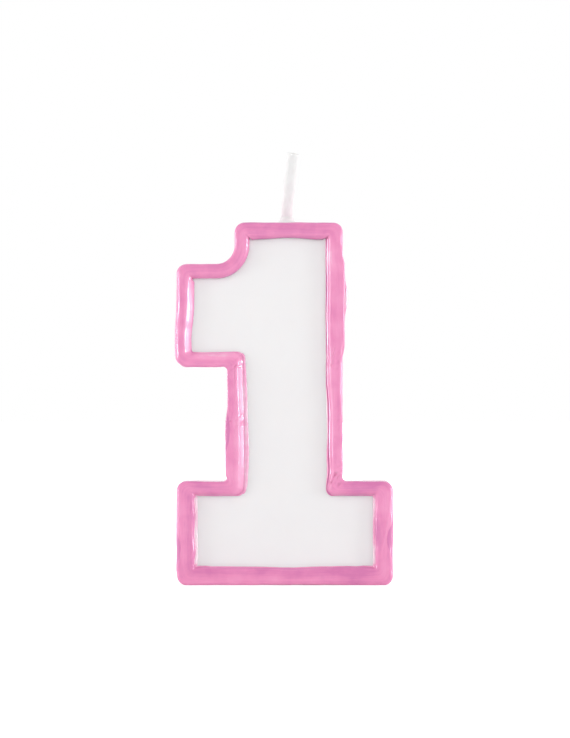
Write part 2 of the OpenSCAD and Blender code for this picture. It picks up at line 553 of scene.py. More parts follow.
# Joins two rings by a strip of quads of about the given length, and notes where its points lie. It gives back
# the loop's length down the middle and down the first ring, and how far along each corner comes.
def makeStrip(bm, firstEdges, secondEdges, spacing):
    for name in strokeLayers:
        bm.verts.layers.float.new(name)
    wayIn = bm.verts.layers.float_vector.new("wayIn")
    along, border, across, acrossLength, pigmentAndPaintedLight = findLayers(bm)
    quads = bmesh.ops.bridge_loops(bm, edges=firstEdges + secondEdges)["faces"]
    firstRing = walkRing(firstEdges)
    firstVerts = set(firstRing)
    partner = {}
    for quad in quads:
        for edge in quad.edges:
            a, b = edge.verts
            if (a in firstVerts) != (b in firstVerts):
                first, second = (a, b) if a in firstVerts else (b, a)
                partner[first] = second
    middle, edgeOn, length = 0.0, 0.0, {}
    for here, there in zip(firstRing, firstRing[1:] + firstRing[:1]):
        length[here] = (middle, edgeOn)
        firstStep = (there.co - here.co).length
        secondStep = (partner[there].co - partner[here].co).length
        middle += (firstStep + secondStep) / 2
        edgeOn += firstStep
    stations = []
    for corner in corners:
        nearest = min(firstRing, key=lambda v: (v.co.xz - corner[0].xz).length)
        stations.append(length[nearest][0])
    for first, second in partner.items():
        for vert, share in ((first, 0.0), (second, 1.0)):
            vert[along], vert[border] = length[first]
            vert[across] = share
            vert[wayIn] = second.co - first.co
    groups = {}
    for quad in quads:
        sides = [e for e in quad.edges if abs(e.verts[0][across] - e.verts[1][across]) < 0.5]
        cuts = round(sum(e.calc_length() for e in sides) / 2 / spacing) - 1
        if cuts > 0:
            groups.setdefault(cuts, []).extend(sides)
    for cuts in sorted(groups):
        bmesh.ops.subdivide_edges(bm, edges=groups[cuts], cuts=cuts, use_grid_fill=True)
    return middle, edgeOn, stations


# Lays the strip's own lengths, along the stroke and across it, out as its UV map.
def addStrokeMap(bm, total):
    along, border, across, acrossLength, pigmentAndPaintedLight = findLayers(bm)
    strokes = bm.loops.layers.uv.new("strokes")
    for face in bm.faces:
        far = max(v[along] for v in face.verts)
        for loop in face.loops:
            u = loop.vert[along]
            if far - u > total / 2:
                u += total
            loop[strokes].uv = (u / strokeUnit, loop.vert[acrossLength] / strokeUnit)


class StrokeNoise:  # noise that runs along a stroke and closes on itself at the end of the loop
    channels = {"slow": 1, "quick": 2, "inner": 3, "innerQuick": 4, "height": 5, "crown": 6, "lip": 8,
                "broad": 9, "fine": 10, "pits": 11}
    channelGap = 17.3
    fade = 4.0  # millimetres over which the end turns into the start

    def __init__(self, total, seed):
        self.total = total
        self.seed = seed

    def read(self, channel, travelled, wavelength, side=0.0):
        depth = self.seed + self.channels[channel] * self.channelGap

        def sample(t):
            return noise.noise(Vector((t / wavelength, side, depth)))
        share = smoothStep((travelled - self.total + self.fade) / self.fade)
        if share <= 0:
            return sample(travelled)
        return blendValue(sample(travelled), sample(travelled - self.total), share)


# How the brush went round, in millimetres: shared by the beads and the band beneath them.
brushwork = {
    "turnOver": 1.5,         # the stretch over which one run turns into the next
    "borderWander": 0.13,    # how far the painted border strays
    "borderWave": 7.0,
    "borderOver": 0.03,      # how far it may stray past the outline
    "seeds": {-1: 3.7, 1: 41.2},  # front and rear
}


# The run at a place along the loop, and its neighbours' shares where one run turns into the next.
def runsAt(travelled, stations, total):
    count = len(stations)
    index = max((i for i in range(count) if stations[i] <= travelled), default=count - 1)
    start, end = stations[index], stations[(index + 1) % count]
    if end <= start:
        end += total
    before = 0.5 * (1 - smoothStep((travelled - start) / brushwork["turnOver"]))
    after = 0.5 * (1 - smoothStep((end - travelled) / brushwork["turnOver"]))
    return index, before, after


def borderInset(ripple, travelled):  # how far the outer border lies inside the outline
    slow = ripple.read("slow", travelled, brushwork["borderWave"])
    quick = ripple.read("quick", travelled, brushwork["borderWave"] * 0.3)
    return max(-brushwork["borderOver"], brushwork["borderWander"] * (0.15 + slow + 0.45 * quick))


# Where the paint stands out past the outline on the front half of the edge: from and to along the run, the
# lengths of its soft ends, and how far it stands out.
frontBulges = {
    "stemRight": (43.6, 63.8, 3.0, 2.4, 0.38),
    "stemLeft": (20.0, 35.0, 1.5, 5.0, 0.38),
    "flagLeft": (42.2, 59.0, 2.5, 10.0, 0.36),
    "footLeft": (1.5, 19.0, 2.0, 3.0, 0.14),
    "flagBottom": (-20.5, -11.5, 2.0, 2.0, 0.12),
}


def bulgeAt(run, spot):
    if run not in frontBulges:
        return 0.0
    *stretch, bulge = frontBulges[run]
    return bulge * plateau(spot, *stretch)


# The raised beads. Sizes are millimetres, waves are the lengths of a wander along the run.
beadStyle = {
    "spacing": 0.22,
    "rows": 44,
    "heightWander": 0.10,   # share of the height
    "heightWave": 9.0,
    "crownWander": 0.06,    # share of the width
    "crownWave": 11.0,
    "innerWander": 0.08,
    "innerWaves": (6.0, 1.8),
    "broadRelief": 0.030,   # long soft furrows left by the brush
    "broadWidth": 0.85,
    "broadLength": 16.0,
    "fineRelief": 0.005,    # bristle marks
    "fineWidth": 0.26,
    "fineLength": 4.0,
    "lipHeight": 0.24,
    "lipFull": 0.3,         # a lip this wide stands at its full height
    "lipWave": 7.0,
    "lipOutside": 0.75,     # share of the lip that lies outside the bead's foot
    "shelfOutside": 0.8,    # share of the shelf that lies outside the bead's crown
    "shelfRise": 1.4,       # how far in the shelf rises before it is level, against its width
    "leastShelf": 0.04,     # a shelf narrower than this is left out
    "least": 0.05,          # and so is such a lip or streak
    "pitSize": 0.6,
    "pitRim": 0.08,
    "ridgeEnds": 0.15,      # how far a ridge fades past its ends, as a share of its length
    "pigmentTurn": (0.25, 0.5),  # where across, as a share, the outer slope's pigment turns, and how long
    "furrowPigmentAndShade": 3.0,      # how much more pigment lies in a furrow, and painted shade with it, for each millimetre of its depth
    "edgePaintedShade": 0.65,       # painted shade in a darker streak along the outer border
    "edgeFade": 0.22,
    "lipFade": 0.1,
    "creaseAt": 0.07,       # how far inside the border the crease lies, where there is no lip
    "creaseWidth": 0.10,
}

# For each run: where the crown lies across the bead, how full its outer and inner slopes are (1 is a flat
# facet), the width of the low lip that the paint left along its inner foot, the width and slope of the
# bevelled shelf above that, how thickly the pigment lies (set higher on the top and flag runs as painted
# shade too), the painted shade on the outer slope, the painted shade on the inner slope (a painted highlight
# where it is below 0), the pigment and painted shade in the inner crease, and how much more pigment lies on
# the lip.
runKeys = ("crown", "outerFull", "innerFull", "lip", "shelf", "shelfSlope", "pigmentAndPaintedLight", "outerPaintedShade", "innerPaintedShadeAndHighlight",
           "creasePigmentAndShade", "lipPool")
runValues = {
    "bottom": (0.52, 6.0, 2.0, 0.34, 0.00, 0.75, 0.47, 0.00, 0.35, 0.3, -0.75),
    "footRight": (0.50, 3.0, 3.5, 0.60, 0.00, 0.75, 0.44, 0.00, 0.15, 0.3, -0.95),
    "ledgeRight": (0.48, 5.0, 2.3, 0.22, 0.00, 0.75, 0.48, 0.40, 0.00, 0.3, -0.40),
    "stemRight": (0.50, 7.0, 3.6, 0.20, 0.46, 0.75, 0.40, 0.00, 0.00, 1.3, -0.25),
    "top": (0.50, 4.0, 2.3, 0.00, 0.00, 0.75, 0.60, 0.05, 0.10, 1.3, 0.00),
    "neck": (0.45, 3.5, 2.2, 0.00, 0.00, 0.75, 0.44, 0.00, 0.00, 0.1, 0.00),
    "flagTop": (0.50, 4.0, 2.4, 0.00, 0.00, 0.75, 0.62, 0.00, 0.00, 0.3, 0.00),
    "flagLeft": (0.61, 2.4, 1.08, 0.00, 0.00, 0.75, 0.56, 0.00, -0.58, 0.9, 0.00),
    "flagBottom": (0.50, 5.0, 1.6, 0.26, 0.00, 0.75, 0.62, 0.00, -0.10, 0.4, -0.30),
    "stemLeft": (0.40, 8.0, 1.7, 0.45, 0.90, 0.87, 0.48, 0.00, -0.52, 0.0, -0.10),
    "ledgeLeft": (0.46, 5.0, 2.3, 0.20, 0.00, 0.75, 0.44, 0.22, 0.00, 0.3, -0.30),
    "footLeft": (0.42, 3.0, 3.2, 0.80, 0.00, 0.75, 0.42, 0.00, 0.46, 0.3, -1.42),
}
runStyle = {run: dict(zip(runKeys, values)) for run, values in runValues.items()}
for runName, corner in zip(runNames, corners):
    runStyle[runName]["width"] = abs(corner[1].x if runName in uprightRuns else corner[1].z)

# What the brush did in one place: on each run, the stretch along x or z and what it changed. It swells and
# sinks back over the stretch, or has ramps at its ends. "outer" and "inner" are the borders, "edge" is the
# breadth of a streak of painted shade along the outer border, "pits" are holes, and the changes to how
# thickly the pigment lies also paint shade and highlights.
frontStrokes = {
    "stemLeft": [
        {"from": 19.6, "to": 44.0, "ramps": (2.5, 9.0), "inner": 0.58, "lip": 0.42},
        {"from": 20.5, "to": 34.0, "inner": 0.34, "lip": 0.30},
        {"from": 23.8, "to": 35.6, "edge": 1.0},
        {"from": 38.5, "to": 43.0, "pits": 0.2},
        {"from": 29.5, "to": 33.5, "pits": 0.2},
    ],
    "top": [
        {"from": -8.0, "to": 9.5, "inner": -0.40},
        {"from": -30.0, "to": 30.0, "inner": 0.60},
    ],
    "stemRight": [
        {"from": 21.0, "to": 44.0, "ramps": (3.0, 10.0), "inner": -0.20, "lip": 0.26, "shelf": 0.18},
        # painted highlights: the inner slope drawn paler here and, in the next stroke, at the top
        {"from": 21.0, "to": 50.0, "ramps": (3.0, 6.0), "innerPaintedShadeAndHighlight": -0.30},
        {"from": 58.0, "to": 69.5, "innerPaintedShadeAndHighlight": -0.60},
        {"from": 27.0, "to": 56.0, "ramps": (4.0, 5.0), "lipPool": -0.50},
        {"from": 18.5, "to": 25.5, "pits": 0.42},
        {"from": 40.0, "to": 49.0, "pits": 0.24},
        {"from": 25.0, "to": 37.0, "pits": 0.14},
        {"from": 33.0, "to": 45.0, "ramps": (3.0, 2.0), "outerFull": -4.2},
        {"from": 64.3, "to": 68.8, "ramps": (1.5, 1.5), "outerFull": -4.2},
    ],
    "footLeft": [
        {"from": 0.0, "to": 20.0, "ramps": (1.0, 1.0), "inner": 0.26},
        {"from": 2.0, "to": 12.0, "edge": 0.95},
    ],
    "footRight": [
        {"from": 0.0, "to": 20.0, "ramps": (1.0, 1.0), "inner": 0.15},
        {"from": 3.5, "to": 14.0, "edge": 1.35},
        # painted shade on the inner slope
        {"from": 4.0, "to": 14.0, "innerPaintedShadeAndHighlight": 0.35},
    ],
    "flagLeft": [
        {"from": 46.0, "to": 62.0, "ramps": (9.0, 2.0), "inner": 0.52},
    ],
    "flagBottom": [
        # a painted highlight on the upper slope
        {"from": -20.0, "to": -9.5, "ramps": (3.0, 5.0), "innerPaintedShadeAndHighlight": -0.75},
    ],
    "bottom": [
        {"from": -17.5, "to": 17.5, "ramps": (2.0, 2.0), "inner": -0.14},
        {"from": -9.0, "to": 9.0, "inner": -0.20},
        {"from": -10.0, "to": 19.0, "outer": 0.10},
        {"from": 10.0, "to": 18.0, "pigmentAndPaintedLight": 0.5},
    ],
    "ledgeRight": [
        {"from": 12.0, "to": 20.0, "pigmentAndPaintedLight": 0.4},
    ],
    "ledgeLeft": [
        {"from": -20.0, "to": -14.0, "pigmentAndPaintedLight": 0.3},
    ],
}
brushChanges = ("outer", "inner", "edge", "pits", "pigmentAndPaintedLight", "innerPaintedShadeAndHighlight", "lip", "lipPool", "shelf",
                "outerFull")

# Ridges and furrows that cross the slopes, with their rise and breadth. The points of each path are a place
# along the run and the way in from the outline.
frontRidges = {
    "footRight": [
        {"path": [(17.5, 0.4), (10.5, 1.35), (4.5, 0.5)], "rise": 0.06, "breadth": 0.22},
        {"path": [(10.5, 1.35), (4.0, 2.6)], "rise": 0.055, "breadth": 0.2},
        {"path": [(16.0, 3.0), (9.5, 2.2)], "rise": 0.04, "breadth": 0.2},
    ],
    "footLeft": [
        {"path": [(12.5, 0.6), (9.0, 1.05), (3.0, 1.0)], "rise": 0.03, "breadth": 0.16},
        {"path": [(16.4, 3.15), (13.0, 2.7), (10.7, 2.95), (8.7, 2.68), (6.4, 3.05), (3.5, 2.8)],
         "rise": 0.03, "breadth": 0.16},
    ],
    "stemLeft": [
        {"path": [(46.0, 2.36), (17.0, 2.36)], "rise": 0.026, "breadth": 0.22},
        {"path": [(46.0, 2.86), (17.0, 2.86)], "rise": -0.026, "breadth": 0.22},
    ],
    "stemRight": [{"path": [(24.0, 0.66), (43.0, 0.33)], "rise": 0.04, "breadth": 0.25}],
    "flagLeft": [
        {"path": [(60.0, 0.5), (51.0, 0.75)], "rise": 0.04, "breadth": 0.2},
        {"path": [(51.0, 0.7), (43.5, 0.4)], "rise": 0.04, "breadth": 0.2},
    ],
    "bottom": [{"path": [(9.0, 2.66), (17.0, 1.7)], "rise": -0.05, "breadth": 0.45}],
}


def crownShape(share, crown, outerFull, innerFull):
    if share < crown:
        reach, full = (crown - share) / crown, outerFull
    else:
        reach, full = (share - crown) / (1 - crown), innerFull
    return max(0.0, 1 - min(1.0, reach) ** full) ** (1 / full)


# What holds for the whole width of the bead at one place along it.
def strokeAt(travelled, edgeOn, place, stations, ripple, borderRipple, strokes):
    index, before, after = runsAt(travelled, stations, ripple.total)
    style = dict(runStyle[runNames[index]])
    for neighbour, share in ((index - 1, before), ((index + 1) % len(runNames), after)):
        other = runStyle[runNames[neighbour]]
        for key in style:
            style[key] = blendValue(style[key], other[key], share)
    run = style["run"] = runNames[index]
    spot = style["spot"] = place.z if run in uprightRuns else place.x
    style["crown"] += beadStyle["crownWander"] * ripple.read("crown", travelled, beadStyle["crownWave"])
    style["lip"] *= max(0.0, 0.8 + 0.7 * ripple.read("lip", travelled, beadStyle["lipWave"]))
    height = ripple.read("height", travelled, beadStyle["heightWave"])
    style["height"] = 1 + beadStyle["heightWander"] * height
    style["outer"] = borderInset(borderRipple, edgeOn)
    if strokes:
        style["outer"] -= bulgeAt(run, spot)
    if run == "bottom":  # the candle stands on it
        style["outer"] = max(0.0, style["outer"])
    slow, quick = [ripple.read(channel, travelled, wave)
                   for channel, wave in zip(("inner", "innerQuick"), beadStyle["innerWaves"])]
    style["inner"] = beadStyle["innerWander"] * (slow + 0.5 * quick)
    style["pits"] = 0.0
    style["edge"] = 0.0
    for stroke in strokes.get(run, []):
        if "ramps" in stroke:
            amount = plateau(spot, stroke["from"], stroke["to"], *stroke["ramps"])
        else:
            amount = swell(spot, stroke["from"], stroke["to"])
        for key in brushChanges:
            style[key] += amount * stroke.get(key, 0.0)
    return style


def ridgeRise(ridges, style, wayAcross):
    rise = 0.0
    here = Vector((style["spot"], wayAcross))
    fade = beadStyle["ridgeEnds"]
    for ridge in ridges.get(style["run"], []):
        points = [Vector(point) for point in ridge["path"]]
        for start, end in zip(points, points[1:]):
            line = end - start
            t = (here - start).dot(line) / line.length_squared
            if -fade < t < 1 + fade:
                gap = (here - start - line * t).length / ridge["breadth"]
                ends = plateau(t, -fade, 1 + fade, fade * 2, fade * 2)
                rise += ridge["rise"] * ends * math.exp(-gap * gap)
    return rise


def softHigher(a, b, power):  # the higher of two surfaces, with a soft join: sharper with a greater power
    return (a ** power + b ** power) ** (1 / power)


# How high the bead stands at one place across its width, and how much of that is relief left by the brush.
def liftAt(style, reach, width, travelled, ripple, ridges):
    lip, shelf = style["lip"], style["shelf"]
    foot = width - lip * beadStyle["lipOutside"]
    main = foot - shelf * beadStyle["shelfOutside"]
    body = 0.0
    if reach < main:
        body = crownShape(reach / main, style["crown"], style["outerFull"], style["innerFull"])
    lift = body * style["height"] * beadHeight
    if shelf > beadStyle["leastShelf"] and main * 0.6 < reach < foot:
        facet = min(shelf * beadStyle["shelfRise"], foot - reach) * style["shelfSlope"]
        lift = softHigher(lift, facet, 6)
    if lip > beadStyle["least"]:
        lipShare = abs(reach - width + lip / 2) / (lip / 2)
        ledge = min(1.0, lip / beadStyle["lipFull"]) * math.sqrt(max(0.0, 1 - lipShare ** 2))
        lift = softHigher(lift, beadStyle["lipHeight"] * ledge, 4)
    broad = ripple.read("broad", travelled, beadStyle["broadLength"], reach / beadStyle["broadWidth"])
    fine = ripple.read("fine", travelled, beadStyle["fineLength"], reach / beadStyle["fineWidth"])
    relief = beadStyle["broadRelief"] * broad + beadStyle["fineRelief"] * fine
    relief += ridgeRise(ridges, style, style["outer"] + reach)
    pitted = 0.0
    if style["pits"] > 0:
        size = beadStyle["pitSize"]
        depth = ripple.read("pits", travelled, size, reach / size) - beadStyle["pitRim"]
        pitted = style["pits"] * 2 * max(0.0, depth)
    return lift + min(1.0, body * 2.2) * relief - min(1.0, lift * 2) * pitted, relief


# How thickly the pigment lies there, with painted shade in the crease, the furrows, the outer border's
# streaks and on slopes that face up, and painted highlights on some inner slopes: 0.5 is the even coat.
def pigmentAt(style, reach, width, relief):
    lip = style["lip"]
    turnsAt, turnsOver = beadStyle["pigmentTurn"]
    turned = smoothStep((reach / width - turnsAt) / turnsOver)
    # painted shade on the outer and inner slopes, and a painted highlight on the inner slope where it is
    # below 0
    slope = blendValue(style["outerPaintedShade"], style["innerPaintedShadeAndHighlight"], turned)
    if lip > beadStyle["least"]:
        slope += style["lipPool"] * smoothStep((reach - width + lip) / beadStyle["lipFade"])
    # a streak of painted shade along the outer border
    if style["edge"] > beadStyle["least"]:
        slope += beadStyle["edgePaintedShade"] * smoothStep((style["edge"] - reach) / beadStyle["edgeFade"])
    # pigment caught in the inner crease, darkened further as painted shade
    fromCrease = reach - width + max(beadStyle["creaseAt"], lip * 0.8)
    creasePigmentAndShade = math.exp(-(fromCrease / beadStyle["creaseWidth"]) ** 2)
    # furrows get more pigment and painted shade, ridges less
    return min(1.0, style["pigmentAndPaintedLight"] + slope - beadStyle["furrowPigmentAndShade"] * relief) + style["creasePigmentAndShade"] * creasePigmentAndShade


def makeBead(name, side, strokes, ridges):
    seed = brushwork["seeds"][side]
    bm = bmesh.new()
    outerEdges = drawOutline(bm, -halfSlab)
    innerEdges = drawOutline(bm, -halfSlab, share=1.0)
    total, edgeTotal, stations = makeStrip(bm, outerEdges, innerEdges, beadStyle["spacing"])
    along, border, across, acrossLength, pigmentAndPaintedLight = findLayers(bm)
    wayIn = bm.verts.layers.float_vector["wayIn"]
    underside = set(bm.faces)
    bmesh.ops.duplicate(bm, geom=bm.verts[:] + bm.edges[:] + bm.faces[:])
    crossing = [e for e in bm.edges if abs(e.verts[0][across] - e.verts[1][across]) > 0.5
                and not underside.issuperset(e.link_faces)]
    bmesh.ops.subdivide_edges(bm, edges=crossing, cuts=beadStyle["rows"] - 1, use_grid_fill=True)
    ripple = StrokeNoise(total, seed)
    borderRipple = StrokeNoise(edgeTotal, seed)
    known = {}
    for vert in bm.verts:
        travelled, share, inward = vert[along], vert[across], vert[wayIn].copy()
        start = vert.co - inward * share
        key = round(travelled, 4)
        if key not in known:
            known[key] = strokeAt(travelled, vert[border], start, stations, ripple, borderRipple, strokes)
        style = known[key]
        share = (1 - math.cos(math.pi * share)) / 2  # rows lie closer at both borders
        span = min(style["width"], inward.length)
        way = inward / span  # the strip's rungs lean, so lengths are kept square to the run
        width = span - style["outer"] + style["inner"]
        reach = share * width
        lift, relief = liftAt(style, reach, width, travelled, ripple, ridges)
        vert.co = start + way * (style["outer"] + reach)
        vert.co.y = -halfSlab - max(0.0, lift)
        vert[acrossLength] = reach
        vert[pigmentAndPaintedLight] = pigmentAt(style, reach, width, relief)
    bmesh.ops.remove_doubles(bm, verts=bm.verts[:], dist=0.0005)
    if side > 0:
        bmesh.ops.scale(bm, vec=(1, -1, 1), verts=bm.verts)
    addStrokeMap(bm, total)
    return finishPiece(bm, name, brushedPinkWax, ["front_bead" if side < 0 else "rear_bead"])


makeBead("frontBead", -1, frontStrokes, frontRidges)
makeBead("rearBead", 1, {}, {})


# The wick and the hole that it stands in, in millimetres, as the frame was built.
wick = {
    "x": 0.35,
    "bore": 1.15,
    "boreFlats": 48,
    "bendStart": figureHeight + 1.5,
    "bendRadius": 15.0,
    "lean": 6.5,
    "coatWall": 0.13,
    "coatGap": 0.05,
    "strandPitch": 8.0,
    "tipRoom": 0.15,    # how far the coat ends below the frame's, measured along it
    "bareTip": 0.15,
}


# Cuts the hole. The drill runs past the top, and is turned a little so that its flats miss the mesh's edges.
def boreForWick(piece):
    bm = bmesh.new()
    radius = wick["bore"] * mm
    depth = figureHeight + 3 - wickFloor
    bmesh.ops.create_cone(bm, cap_ends=True, segments=wick["boreFlats"], radius1=radius, radius2=radius,
                          depth=depth * mm, matrix=Matrix.Rotation(0.05, 4, "Z"))
    bmesh.ops.translate(bm, vec=(wick["x"] * mm, 0, (wickFloor + depth / 2) * mm), verts=bm.verts)
    mesh = bpy.data.meshes.new("drill")
    bm.to_mesh(mesh)
    bm.free()
    drill = addObject("drill", mesh)
    cut = piece.modifiers.new("wickHole", "BOOLEAN")
    cut.operation = "DIFFERENCE"
    cut.solver = "EXACT"
    cut.object = drill
    drilled = bpy.data.meshes.new_from_object(piece.evaluated_get(bpy.context.evaluated_depsgraph_get()))
    piece.modifiers.clear()
    plain = piece.data
    piece.data = drilled
    drilled.name = piece.name
    bpy.data.meshes.remove(plain)
    bpy.data.objects.remove(drill)
    bpy.data.meshes.remove(mesh)
    print("drilled", piece.name, len(piece.data.polygons), "faces")


# The painted band round the edge, in millimetres.
bandStyle = {
    "spacing": 0.30,
    "rows": 34,
    "relief": 0.12,
    "waves": (8.0, 2.6),
    "seed": 77.1,
    "strokeMiddle": 0.25,        # where across the edge the strokes below are fullest: 0 is the front
    "bulgeEnds": (0.75, 0.6),    # where the front's bulges end, and the share over which they sink
}

# Where the band bulges past its outline, or the paint on it is thin or thick; the thick stretches beside
# the front bead also stand in for painted shade on the side that turns away.
bandStrokes = {
    "stemLeft": [
        {"from": 24.0, "to": 36.0, "bulge": 0.1, "pigmentAndPaintedLight": 0.5},
    ],
    "stemRight": [
        {"from": 50.0, "to": 60.5, "bulge": 0.75, "pigmentAndPaintedLight": -1.1},
        {"from": 20.5, "to": 28.0, "bulge": 0.15, "pigmentAndPaintedLight": -0.2},
    ],
    "footLeft": [
        {"from": 1.5, "to": 9.0, "pigmentAndPaintedLight": 0.5},
    ],
    "footRight": [
        {"from": 5.0, "to": 12.0, "pigmentAndPaintedLight": 0.4},
    ],
}


def makeBand():
    bm = bmesh.new()
    frontEdges = drawOutline(bm, -halfSlab)
    rearEdges = drawOutline(bm, halfSlab)
    total, edgeTotal, stations = makeStrip(bm, frontEdges, rearEdges, bandStyle["spacing"])
    along, border, across, acrossLength, pigmentAndPaintedLight = findLayers(bm)
    crossing = [e for e in bm.edges if abs(e.verts[0][across] - e.verts[1][across]) > 0.5]
    bmesh.ops.subdivide_edges(bm, edges=crossing, cuts=bandStyle["rows"] - 1, use_grid_fill=True)
    bmesh.ops.recalc_face_normals(bm, faces=bm.faces[:])
    bm.normal_update()
    right = max(bm.verts, key=lambda v: v.co.x)
    if right.normal.x < 0:
        bmesh.ops.reverse_faces(bm, faces=bm.faces[:])
        bm.normal_update()
    front = StrokeNoise(edgeTotal, brushwork["seeds"][-1])
    rear = StrokeNoise(edgeTotal, brushwork["seeds"][1])
    own = StrokeNoise(total, bandStyle["seed"])
    slowWave, quickWave = bandStyle["waves"]
    bulgeEnd, bulgeFade = bandStyle["bulgeEnds"]
    moves = []
    for vert in bm.verts:
        travelled, share = vert[along], vert[across]
        index, before, after = runsAt(travelled, stations, total)
        run = runNames[index]
        spot = vert.co.z if run in uprightRuns else vert.co.x
        frontInset, rearInset = borderInset(front, vert[border]), borderInset(rear, vert[border])
        inset = blendValue(frontInset, rearInset, smoothStep(share))
        slow = own.read("slow", travelled, slowWave, share * 2.0)
        wave = slow + 0.4 * own.read("quick", travelled, quickWave, share * 5.0)
        inset += math.sin(math.pi * share) * bandStyle["relief"] * (0.5 + wave)
        pigmentAndShade = 0.5 + 0.2 * wave
        facing = max(0.0, math.cos(math.pi * (share - bandStyle["strokeMiddle"])))
        for stroke in bandStrokes.get(run, []):
            amount = swell(spot, stroke["from"], stroke["to"]) * facing
            inset -= amount * stroke.get("bulge", 0.0)
            # the stroke's pigment, and painted shade where it is darker
            pigmentAndShade += amount * stroke["pigmentAndPaintedLight"]
        inset -= bulgeAt(run, spot) * smoothStep((bulgeEnd - share) / bulgeFade)
        if run == "bottom":
            inset = max(0.0, inset)
        moves.append((vert, -vert.normal * inset))
        vert[acrossLength] = share * halfSlab * 2
        vert[pigmentAndPaintedLight] = pigmentAndShade
    for vert, move in moves:
        vert.co += move
    bmesh.ops.solidify(bm, geom=bm.faces[:], thickness=figure["bandThickness"])
    addStrokeMap(bm, total)
    piece = finishPiece(bm, "paintedBand", brushedPinkWax, ["edge_band"])
    boreForWick(piece)
    return piece


makeBand()


# The white casting, in millimetres.
castingStyle = {
    "cell": 1.5,
    "undulation": 0.06,
    "wave": 13.0,
    "sink": 0.10,       # the face draws in a little as the wax cools
    "margin": 3.6,      # flat beneath the beads
    "turn": 3.0,        # the stretch over which the flat margin turns into the face
    "sharp": 40,        # degrees
}


def nearestOnLine(point, a, b):
    line = b - a
    t = min(1.0, max(0.0, (point - a).dot(line) / line.length_squared))
    return a + line * t


def makeCasting():
    bm = bmesh.new()
    edges = drawOutline(bm, -halfSlab, depth=figure["bandThickness"], keepFace=True)
    rim = [v.co.copy() for v in walkRing(edges)]
    cell = castingStyle["cell"]
    for way, low, high in ((Vector((1, 0, 0)), -halfFoot, halfFoot), (Vector((0, 0, 1)), 0, figureHeight)):
        for i in range(math.ceil(low / cell), math.ceil(high / cell)):
            bmesh.ops.bisect_plane(bm, geom=bm.verts[:] + bm.edges[:] + bm.faces[:], dist=0.0001,
                                   plane_co=way * i * cell, plane_no=way)
    front = bm.verts[:]
    extruded = bmesh.ops.extrude_face_region(bm, geom=bm.faces[:], use_keep_orig=True)["geom"]
    rear = [e for e in extruded if isinstance(e, bmesh.types.BMVert)]
    bmesh.ops.translate(bm, vec=(0, halfSlab * 2, 0), verts=rear)
    lines = list(zip(rim, rim[1:] + rim[:1]))
    for verts, outward, seed in ((front, -1, 5.0), (rear, 1, 9.0)):
        for vert in verts:
            flat = Vector((vert.co.x, -halfSlab, vert.co.z))
            depth = min((flat - nearestOnLine(flat, a, b)).length for a, b in lines)
            past = depth + figure["bandThickness"] - castingStyle["margin"]
            share = smoothStep(past / castingStyle["turn"])
            spot = Vector((flat.x, flat.z, seed * castingStyle["wave"])) / castingStyle["wave"]
            swelling = castingStyle["undulation"] * noise.noise(spot)
            vert.co.y += outward * share * (swelling - castingStyle["sink"])
    piece = finishPiece(bm, "paraffinCasting", castParaffin, ["wax_body"])
    boreForWick(piece)
    piece.data.set_sharp_from_angle(angle=math.radians(castingStyle["sharp"]))
    return piece


makeCasting()


wickStyle = {  # millimetres
    "flats": 36,
    "spacing": 0.4,
    "freeFrom": 1.2,     # height over the wax from which the coat is free to swell
    "freeRamp": 1.5,
    "strandRelief": 0.03,
    "lump": 0.03,
    "lumpLength": 1.7,
    "tipSwell": 0.14,
    "tipFrom": 3.0,      # how far above that the tip swells
    "tipRamp": 4.0,
    "rimDepth": 0.6,     # the ragged rim at the tip
    "rimRise": 0.12,
    "plyFlats": 14,
    "plyRoom": 0.015,
    "plyEnd": 0.15,      # the rounded end of a ply, and each step's way in and rise
    "plySteps": ((0.10, 0.08), (0.16, 0.06)),
}


# The place and lean of the wick's middle a given length up from the bottom of its hole.
def wickMiddle(length):
    bendAt = wick["bendStart"] - wickFloor
    if length <= bendAt:
        return Vector((wick["x"], 0, wickFloor + length)), 0.0
    lean = math.radians(wick["lean"])
    turned = min(lean, (length - bendAt) / wick["bendRadius"])
    place = Vector((wick["x"] + wick["bendRadius"] * (1 - math.cos(turned)), 0,
                    wick["bendStart"] + wick["bendRadius"] * math.sin(turned)))
    rest = length - bendAt - turned * wick["bendRadius"]
    return place + Vector((math.sin(turned), 0, math.cos(turned))) * max(0.0, rest), turned


def bendUpWick(verts):
    for vert in verts:
        place, lean = wickMiddle(max(0.0, vert.co.z))
        offset = Matrix.Rotation(lean, 3, "Y") @ Vector((vert.co.x, vert.co.y, min(0.0, vert.co.z)))
        vert.co = place + offset


# Cuts the upright edges of a straight tube or rod into short ones, so that it can bend.
def cutUpright(bm, length):
    upright = [e for e in bm.edges if abs(e.verts[0].co.z - e.verts[1].co.z) > 1]
    bmesh.ops.subdivide_edges(bm, edges=upright, cuts=int(length / wickStyle["spacing"]), use_grid_fill=True)


